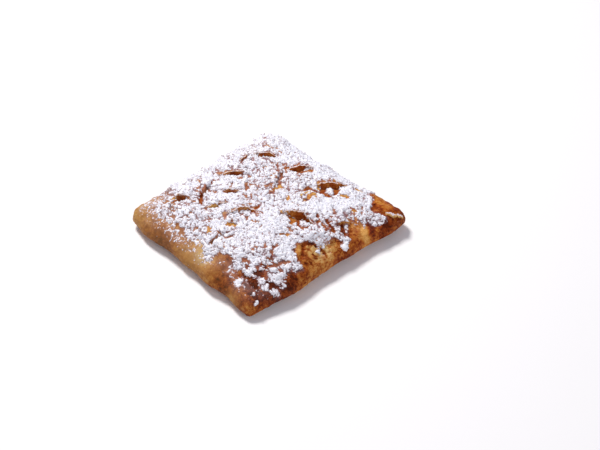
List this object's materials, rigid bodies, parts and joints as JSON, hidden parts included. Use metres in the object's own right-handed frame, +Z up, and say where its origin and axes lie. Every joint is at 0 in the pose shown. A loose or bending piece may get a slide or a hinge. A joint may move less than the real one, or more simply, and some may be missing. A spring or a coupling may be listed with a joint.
{
  "type": "bougatsa",
  "caption": "Square, pillow-shaped filo parcel with a puffed, folded top crust, rounded browned sides and a flat underside, dusted with icing sugar.",
  "frame": {"origin": "middle of the flat underside, at the middle of the outline's box", "axes": "+Z up through the puffed top; -Y and +X are the two sides that the picture shows"},
  "size_m": [0.1603, 0.1683, 0.0342],
  "materials": {
    "crust": "browned flaky crust with a thin buttery sheen",
    "sugar": "matt white powder in soft clumps"
  },
  "bodies": {
    "root": {"bougatsa": "crust"}
  },
  "joints": []
}
